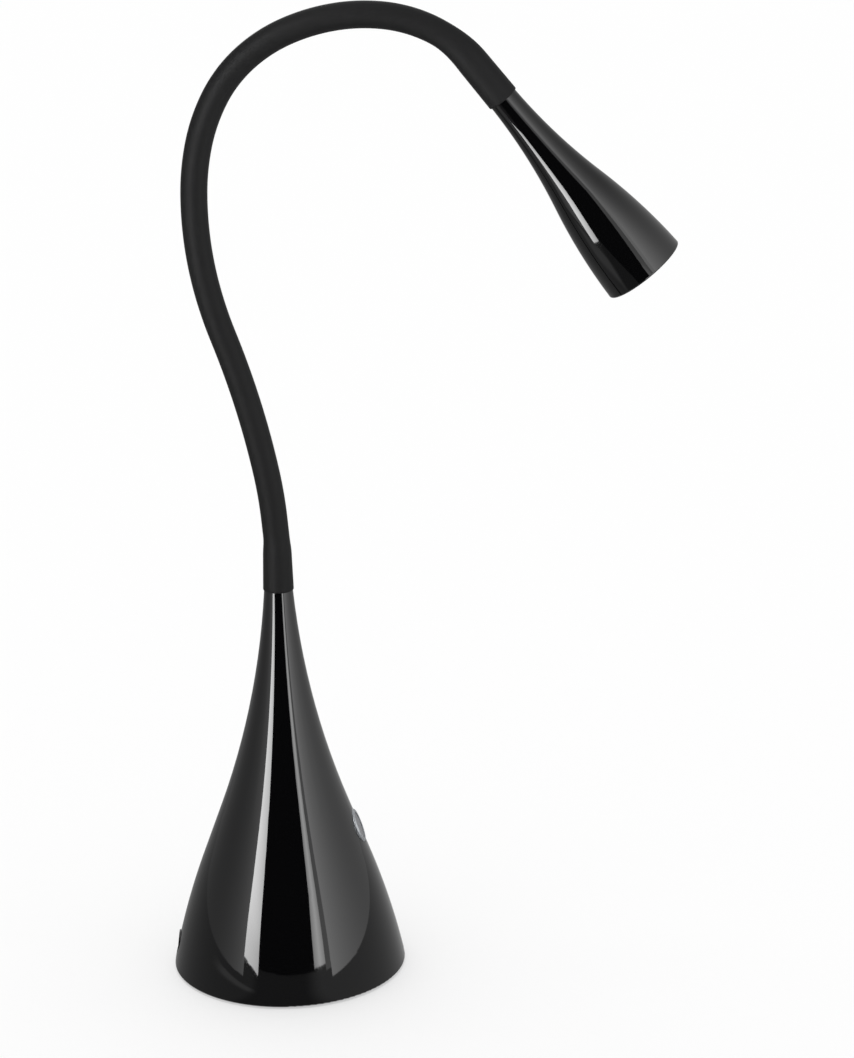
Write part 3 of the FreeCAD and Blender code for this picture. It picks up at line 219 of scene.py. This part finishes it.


# Sleeve: a tube of black silicone with a soft-touch skin, pulled over the core and stretched
# over the fitting at each end. It is made in pieces, one across each joint.

TUBE, TUBE_BORE = 6.35 * MM, 5.2 * MM
FITTING_ROOM, FLANGE_ROOM, FLANGE_REACH = 5.8 * MM, 6.3 * MM, 1.75 * MM
FOOT_FITTING_SLACK = 0.3 * MM          # room beyond the lower fitting
HEAD_FITTING_SLACK = 1.9 * MM          # the head's room ends this far short of the last joint
END_ROUND = 0.5 * MM
ROUND_STEPS = (15, 35, 60, 90)         # degrees of the rounded end at which it has a ring
SLEEVE_SIDES, SLEEVE_STEP = 64, 1.1 * MM
FEWEST_STEPS = 6
LAST_RUN = 35 * MM                     # from the last bend to the head
FIRST_REACH, FULL_REACH = 0.2, 0.9999  # shares of the pitch and of half the pitch
HAIR = 0.01 * MM

# A swell's radius at its end and at its shoulder, and how far from the end the shoulder is and
# where the swell has run out.
FOOT_SWELL = (7.45 * MM, 6.97 * MM, 17 * MM, 27 * MM)
HEAD_SWELL = (7.7 * MM, 7.5 * MM, 20 * MM, 44 * MM)


def way(lean):
    """The way that leans that far from upright towards the front, and the way to its right."""
    return (Vector((math.sin(lean), 0, math.cos(lean))),
            Vector((math.cos(lean), 0, -math.sin(lean))))


neck_joints = [joint for joint in frame["joints"] if joint["name"].startswith("neck_")]
joint_spots = [Vector(joint["pos_m"]) for joint in neck_joints]
bends = [spot for spot, joint in zip(joint_spots, neck_joints) if "_bend_" in joint["name"]]
neck_foot = Vector((0, 0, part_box("base_shell")[1].z))
neck_end = bends[-1] + (joint_spots[-1] - bends[-1]).normalized() * LAST_RUN
corners = [neck_foot] + bends + [neck_end]
leans = [math.atan2(b.x - a.x, b.z - a.z) for a, b in zip(corners, corners[1:])]
runs = [(b - a).length for a, b in zip(corners, corners[1:])]
pitch = runs[1]
neck_length = sum(runs)
bend_at = [sum(runs[:count + 1]) for count in range(len(bends))]
steps_between = [(b - a).length for a, b in zip([neck_foot] + joint_spots, joint_spots)]
joint_at = [sum(steps_between[:count + 1]) for count in range(len(joint_spots))]


def station(along, reaches):
    """The neck's centre line that far from the base: the place, and its lean from upright.
    The line is rounded at each bend by an arc that reaches so far each way."""
    for number, (at, reach) in enumerate(zip(bend_at, reaches)):
        if abs(along - at) < reach:
            before, turn = leans[number], leans[number + 1] - leans[number]
            radius = reach / math.tan(turn / 2)
            middle = bends[number] - way(before)[0] * reach + way(before)[1] * radius
            lean = before + turn * (along - at + reach) / (2 * reach)
            return middle - way(lean)[1] * radius, lean
    number = sum(at < along for at in bend_at)
    return corners[number] + way(leans[number])[0] * (along - sum(runs[:number])), leans[number]


def hoop(place, lean, radius, sides):
    """A ring of points square to the neck."""
    turns = [2 * math.pi * side / sides for side in range(sides)]
    return [place + way(lean)[1] * (radius * math.cos(turn))
            + Vector((0, radius * math.sin(turn), 0)) for turn in turns]


def put(name, data):
    """A named object in the scene that shows this data."""
    piece = bpy.data.objects.new(name, data)
    bpy.context.scene.collection.objects.link(piece)
    return piece


def skin(name, rings, material, hollow=False):
    """A smooth mesh through rings of points. Its ends are closed, or joined if it is hollow."""
    mesh = bpy.data.meshes.new(name)
    shape = bmesh.new()
    rows = [[shape.verts.new(point) for point in ring] for ring in rings]
    for row, after in zip(rows, rows[1:] + rows[:1] if hollow else rows[1:]):
        for side in range(len(row)):
            beyond = (side + 1) % len(row)
            shape.faces.new((row[side], row[beyond], after[beyond], after[side]))
    if not hollow:
        shape.faces.new(rows[0][::-1])
        shape.faces.new(rows[-1])
    bmesh.ops.recalc_face_normals(shape, faces=shape.faces)
    shape.to_mesh(mesh)
    shape.free()
    mesh.shade_smooth()
    mesh.set_sharp_from_angle(angle=math.radians(50))
    mesh.materials.append(material)
    return put(name, mesh)


def crossing(piece, node):
    """Hides the frame's node that a piece of the sleeve or the lead stands in for, and bakes the
    piece's place into its mesh.
    """
    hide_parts(node)
    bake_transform(piece)


def eased(share):
    """A share from 0 to 1 that starts and ends gently."""
    share = min(max(share, 0), 1)
    return share * share * (3 - 2 * share)


def swell(from_end, end_radius, shoulder, shoulder_at, run_out):
    """How thick the sleeve is near an end: a slight taper, then an ease down to the tube."""
    if from_end < shoulder_at:
        radius = end_radius + (shoulder - end_radius) * from_end / shoulder_at
    else:
        share = (from_end - shoulder_at) / (run_out - shoulder_at)
        radius = shoulder + (TUBE - shoulder) * eased(share)
    lip = max(0, 1 - from_end / END_ROUND)
    return radius - END_ROUND * (1 - math.sqrt(1 - lip * lip))


def sleeve_radius(along):
    if along < neck_length / 2:
        return swell(along, *FOOT_SWELL)
    return swell(neck_length - along, *HEAD_SWELL)


def bore_radius(along):
    """The bore, with room for the fitting in each end and for its flange."""
    from_end = min(along, neck_length - along)
    fitting_end = foot_fitting if along < neck_length / 2 else head_fitting
    if from_end < FLANGE_REACH:
        return FLANGE_ROOM
    return FITTING_ROOM if from_end < fitting_end else TUBE_BORE


foot_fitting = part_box("lower_ferrule")[1].z - neck_foot.z + FOOT_FITTING_SLACK
head_fitting = LAST_RUN - pitch / 2 - HEAD_FITTING_SLACK

silicone, tree, shader = finish("soft_touch_black_silicone", Roughness=0.6, IOR=1.41,
                                Specular_IOR_Level=0.25, Sheen_Weight=0.02, Sheen_Roughness=0.4)
bloom = grain(tree, 5, 4)
tree.links.new(tint(tree, bloom, "09090a", "0f0f10"), shader.inputs["Base Color"])
relief(tree, shader, grain(tree, 0.6, 3), 0.03)

sleeve_reaches = [pitch * FIRST_REACH] + [pitch / 2 * FULL_REACH] * (len(bends) - 1)
seams = [(a + b) / 2 for a, b in zip(joint_at, joint_at[1:])]
lips = [END_ROUND * (1 - math.cos(math.radians(angle))) for angle in ROUND_STEPS]
bore_steps = (FLANGE_REACH, foot_fitting, neck_length - FLANGE_REACH, neck_length - head_fitting)
for number, (low, high) in enumerate(zip([0.0] + seams, seams + [neck_length])):
    steps = max(FEWEST_STEPS, round((high - low) / SLEEVE_STEP))
    places = [low + (high - low) * step / steps for step in range(steps + 1)]
    outer = places + [at for lip in lips for at in (lip, neck_length - lip) if low < at < high]
    jumps = [at + side for at in bore_steps for side in (-HAIR, HAIR)]
    inner = places + [at for at in jumps if low < at < high]
    rings = [hoop(*station(at, sleeve_reaches), sleeve_radius(at), SLEEVE_SIDES)
             for at in sorted(outer)]
    rings += [hoop(*station(at, sleeve_reaches), bore_radius(at), SLEEVE_SIDES)
              for at in sorted(inner, reverse=True)]
    piece = skin(f"sleeve_{number + 1:02d}", rings, silicone, hollow=True)
    crossing(piece, "neck_sleeve")


# Lamp lead: a thin two-core lead in a soft PVC jacket, from the driver board's socket up the
# bore of the core to the LED board. It is made in pieces, one across each joint, as the sleeve is.

LEAD_RADIUS, LEAD_BEND = 0.8 * MM, 15 * MM
LEAD_SIDES, LEAD_STEP = 12, 1.2 * MM
LEAD_IN_HEAD = 78.5 * MM               # from the neck's end to the LED board

pvc, tree, shader = finish("soft_pvc_jacket", Roughness=0.45, IOR=1.53)
tree.links.new(tint(tree, grain(tree, 3), "161617", "202022"), shader.inputs["Base Color"])
paint(pvc, "inlet_lead", "switch_lead")

lead_reaches = [LEAD_BEND * math.tan(abs(b - a) / 2) for a, b in zip(leans, leans[1:])]
lead_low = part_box("lamp_lead")[0].z - neck_foot.z
lead_high = neck_length + LEAD_IN_HEAD
for number, (low, high) in enumerate(zip([lead_low] + seams, seams + [lead_high])):
    steps = max(FEWEST_STEPS, round((high - low) / LEAD_STEP))
    rings = [hoop(*station(low + (high - low) * step / steps, lead_reaches), LEAD_RADIUS,
                  LEAD_SIDES) for step in range(steps + 1)]
    piece = skin(f"lamp_lead_{number + 1:02d}", rings, pvc)
    crossing(piece, "lamp_lead")


# Head shell: moulded and polished as the base is, screwed to the neck's upper fitting.

paint(gloss_abs, "head_shell")


# Light: a turned aluminium heat sink carries the LED on its board; a silvered bowl, a clear
# acrylic disc and a black snap ring close the mouth.

anodised, tree, shader = finish("clear_anodised_aluminium", Metallic=1.0)
tree.links.new(tint(tree, grain(tree, 1.5), "a9abae", "bcbec1"), shader.inputs["Base Color"])
tree.links.new(spread(tree, grain(tree, 1.5), 0.3, 0.42), shader.inputs["Roughness"])
paint(anodised, "heat_sink")

white_mask, tree, shader = finish("white_solder_mask", Roughness=0.3, IOR=1.55)
tree.links.new(tint(tree, grain(tree, 2), "dcdcd8", "eaeae6"), shader.inputs["Base Color"])
paint(white_mask, "led_board")

phosphor, tree, shader = finish("yellow_phosphor_silicone", Roughness=0.35, IOR=1.41)
tree.links.new(tint(tree, grain(tree, 0.3), "d8b52a", "e8ca48"), shader.inputs["Base Color"])
paint(phosphor, "led_emitter")

silvered, tree, shader = finish("vacuum_silvered_plastic", Metallic=1.0)
tree.links.new(tint(tree, grain(tree, 2), "d6d8db", "e4e6e8"), shader.inputs["Base Color"])
tree.links.new(spread(tree, grain(tree, 0.8), 0.08, 0.2), shader.inputs["Roughness"])
paint(silvered, "reflector")

acrylic, tree, shader = finish("clear_acrylic", Base_Color=linear("f2f5f5"), IOR=1.49,
                               Transmission_Weight=1.0)
tree.links.new(spread(tree, grain(tree, 0.6, 3), 0.02, 0.09), shader.inputs["Roughness"])
paint(acrylic, "front_lens")
paint(satin_pbt, "lens_ring")


# Studio: a white table and backdrop in even daylight, with a soft sun from behind. The gloss sees
# the walls of a light tent: two bright strips beside a dark gap at the camera, and grey cloth.
# Where the gloss meets the table it sees a painted reflection of it instead, with painted shade
# in front of the lamp and painted light beside the left light.

SUN_FROM = Vector((-0.1, 0.5, 1.2))
SUN_WIDTH = 50                         # degrees, for a soft shadow
TABLE_SIZE = 12
TABLE_GLOW = 0.45                      # how much of the table that the eye sees is its own light
CAMERA_PLACE = Vector((0.0723, -1.5570, 0.7226))
CAMERA_TILT, CAMERA_ROLL = math.radians(72.267), math.radians(-1.0365)

# How far the tent's cloths are from the lamp's axis, and where the walls stop, as azimuths from
# the camera's side in degrees
GAP_FAR, WALL_FAR, RIGHT_LIGHT_FAR, TABLE_END = 0.7, 0.51, 0.5, 0.8
GAP_LEFT, GAP_RIGHT = -30, 29
LEFT_WALL_FROM, RIGHT_LIGHT_FROM, FOLD_FROM, RIGHT_WALL_FROM, WALLS_TO = -43.5, 25.5, 37, 42.5, 150
CLOTH_TOP, WALL_FOOT = 1.2, 0.014
TABLE_START, HEM_TOP = 0.0585, 0.052   # the painted table that the gloss sees starts just outside the lamp's foot
FEWEST_COLUMNS, COLUMN_WIDTH, ROWS = 20, 0.75, 24


def empty_tree(owner):
    """The node tree of a material or world, with nothing in it."""
    owner.use_nodes = True
    owner.node_tree.nodes.clear()
    return owner.node_tree


def to_the_eye(tree, unseen, seen):
    """One value for rays from the camera or by way of gloss or glass, another for the rest."""
    ray = add(tree, "ShaderNodeLightPath").outputs
    either = add(tree, "ShaderNodeMath", {"operation": "MAXIMUM"})
    tree.links.new(ray["Is Camera Ray"], either.inputs[0])
    tree.links.new(ray["Is Glossy Ray"], either.inputs[1])
    any_of_them = add(tree, "ShaderNodeMath", {"operation": "MAXIMUM"})
    tree.links.new(either.outputs[0], any_of_them.inputs[0])
    tree.links.new(ray["Is Transmission Ray"], any_of_them.inputs[1])
    return spread(tree, any_of_them.outputs[0], unseen, seen, over=(0, 1))


world = bpy.data.worlds.new("daylight")
bpy.context.scene.world = world
tree = empty_tree(world)
sky = add(tree, "ShaderNodeBackground", links={"Color": linear("ffffff"),
                                               "Strength": to_the_eye(tree, 0.8, 1.0)})
add(tree, "ShaderNodeOutputWorld", links={"Surface": sky.outputs[0]})

sun_light = bpy.data.lights.new("soft_sun", "SUN")
sun_light.energy = 0.8
sun_light.angle = math.radians(SUN_WIDTH)
sun = put("soft_sun", sun_light)
sun.rotation_euler = (-SUN_FROM).to_track_quat("-Z", "Y").to_euler()
sun.visible_glossy = False

bpy.ops.mesh.primitive_plane_add(size=TABLE_SIZE)
table = bpy.context.object
table.name = "table"
white = bpy.data.materials.new("white_table")
tree = empty_tree(white)
matt = add(tree, "ShaderNodeBsdfDiffuse", links={"Color": linear("fafafa")})
glow = add(tree, "ShaderNodeEmission", links={"Color": linear("ffffff"), "Strength": 1.0})
both = add(tree, "ShaderNodeMixShader", links={"Fac": to_the_eye(tree, 0.0, TABLE_GLOW)})
tree.links.new(matt.outputs[0], both.inputs[1])
tree.links.new(glow.outputs[0], both.inputs[2])
add(tree, "ShaderNodeOutputMaterial", links={"Surface": both.outputs[0]})
table.data.materials.append(white)

tent_cloth_and_painted_table = bpy.data.materials.new("tent_cloth_and_painted_table")
tree = empty_tree(tent_cloth_and_painted_table)
shine = add(tree, "ShaderNodeAttribute", {"attribute_name": "shine"}).outputs["Fac"]
lit = add(tree, "ShaderNodeEmission", links={"Color": linear("ffffff"), "Strength": shine})
add(tree, "ShaderNodeOutputMaterial", links={"Surface": lit.outputs[0]})


def cloth(name, azimuths, spans, spot, shine):
    """A cloth of the tent, or the table's painted light and shade, which only the gloss sees. It
    runs from the first azimuth to the second, or over shares of a width, and over two heights or
    distances. For each pair of these, spot gives the place and shine the brightness."""
    across = max(FEWEST_COLUMNS, round(abs(azimuths[1] - azimuths[0]) / COLUMN_WIDTH))
    grid = [(azimuths[0] + (azimuths[1] - azimuths[0]) * column / across,
             spans[0] + (spans[1] - spans[0]) * row / ROWS)
            for column in range(across + 1) for row in range(ROWS + 1)]
    after = ROWS + 1
    faces = [(at, at + 1, at + after + 1, at + after)
             for column in range(across)
             for at in range(column * after, column * after + ROWS)]
    mesh = bpy.data.meshes.new(name)
    mesh.from_pydata([spot(azimuth, span) for azimuth, span in grid], [], faces)
    values = mesh.attributes.new("shine", "FLOAT", "POINT").data
    values.foreach_set("value", [shine(azimuth, span) for azimuth, span in grid])
    mesh.materials.append(tent_cloth_and_painted_table)
    piece = put(name, mesh)
    piece.visible_camera = False
    piece.visible_diffuse = False
    piece.visible_shadow = False


def on_wall(distance):
    """Gives a place on an upright wall that far from the lamp's axis."""
    return lambda azimuth, height: (distance * math.sin(math.radians(azimuth)),
                                    -distance * math.cos(math.radians(azimuth)), height)


def on_table(azimuth, distance):
    """A place just above the table."""
    return (distance * math.sin(math.radians(azimuth)),
            -distance * math.cos(math.radians(azimuth)), 0.6 * MM)


def higher_is_dimmer(height):
    """How much of a wall's light is left towards its top."""
    return 1 - 0.45 * eased((height - 0.5) / 0.3)


def folds(azimuth):
    """The faint light and dark of upright folds in the cloth."""
    return 1 + 0.03 * math.sin(azimuth * 2.7) + 0.025 * math.sin(azimuth * 4.3 + 1)


def left_shine(azimuth, height):
    """The left wall is brightest beside the left light."""
    return folds(azimuth) * higher_is_dimmer(height) * (
        0.33 + 1.2 * math.exp((azimuth + 44) / 18))


def right_shine(azimuth, height):
    """The right wall is brightest beside the fold."""
    return folds(azimuth) * higher_is_dimmer(height) * (
        0.25 + 2.9 * math.exp((RIGHT_WALL_FROM - azimuth) / 40))


def painted_table_light_and_shade(azimuth, distance):
    """The table as the gloss sees it: painted shade in front, grey elsewhere, and painted light
    beside the left light.
    """
    if azimuth < 0:
        lit = (eased((distance - 0.22) / 0.1) * (1 - eased((distance - 0.44) / 0.08))
               * (1 - eased((-azimuth - 60) / 20)))
        return 0.15 + eased((-azimuth - 28) / 10) * (0.12 + 0.33 * lit)
    return 0.15 + 0.32 * eased((azimuth - 14) / 20)


def upper(height):
    """How far a height is above the right-hand light."""
    return eased((height - 0.22) / 0.18)


def left_panel(share, height):
    """The left light stands askew. It is given from its near edge to its far one, where it
    hangs lower."""
    return (-0.289 - 0.05 * share, -0.305 - 0.3 * share, height - 0.012 * share)


def right_panel(azimuth, height):
    """The right light narrows towards its top."""
    narrower = 0.32 * eased((height - 0.05) / 0.25)
    return on_wall(RIGHT_LIGHT_FAR)(azimuth + (FOLD_FROM - azimuth) * narrower, height)


cloth("gap", (GAP_LEFT, GAP_RIGHT), (0.047, CLOTH_TOP), on_wall(GAP_FAR),
      lambda azimuth, height: 0.02)
cloth("left_strip", (0, 1), (0.043, 1.0), left_panel,
      lambda share, height: (16 - 5.5 * share) * (0.75 + 0.25 * eased((height - 0.04) / 0.12)))
cloth("right_strip", (RIGHT_LIGHT_FROM, FOLD_FROM), (0.042, CLOTH_TOP), right_panel,
      lambda azimuth, height: 1.1 + (6 - 3 * abs(azimuth - 31.5) / 6) * (1 - upper(height)))
cloth("left_wall", (LEFT_WALL_FROM, -WALLS_TO), (WALL_FOOT, 1.0), on_wall(WALL_FAR), left_shine)
cloth("right_fold", (FOLD_FROM, RIGHT_WALL_FROM), (0.03, CLOTH_TOP), on_wall(WALL_FAR),
      lambda azimuth, height: 1.3 + 1.3 * upper(height))
cloth("right_wall", (RIGHT_WALL_FROM, WALLS_TO), (WALL_FOOT, 1.0), on_wall(WALL_FAR), right_shine)
# The table and its far edge as the gloss sees them: cloths with painted shade in front of the lamp
# and painted light beside the left light.
for name, end in (("left", -180), ("right", 180)):
    cloth(name + "_table", (0, end), (TABLE_START, TABLE_END), on_table, painted_table_light_and_shade)
    cloth(name + "_hem", (0, end), (0, HEM_TOP), on_wall(TABLE_END),
          lambda azimuth, height: painted_table_light_and_shade(azimuth, 0))

view = bpy.data.cameras.new("view")
view.sensor_fit = "HORIZONTAL"
view.sensor_width = 36
view.lens = 143.33
camera = put("view", view)
turn = Matrix.Rotation(CAMERA_TILT, 4, "X") @ Matrix.Rotation(CAMERA_ROLL, 4, "Z")
camera.matrix_world = Matrix.Translation(CAMERA_PLACE) @ turn
bpy.context.scene.camera = camera
bpy.context.scene.view_settings.view_transform = "Standard"
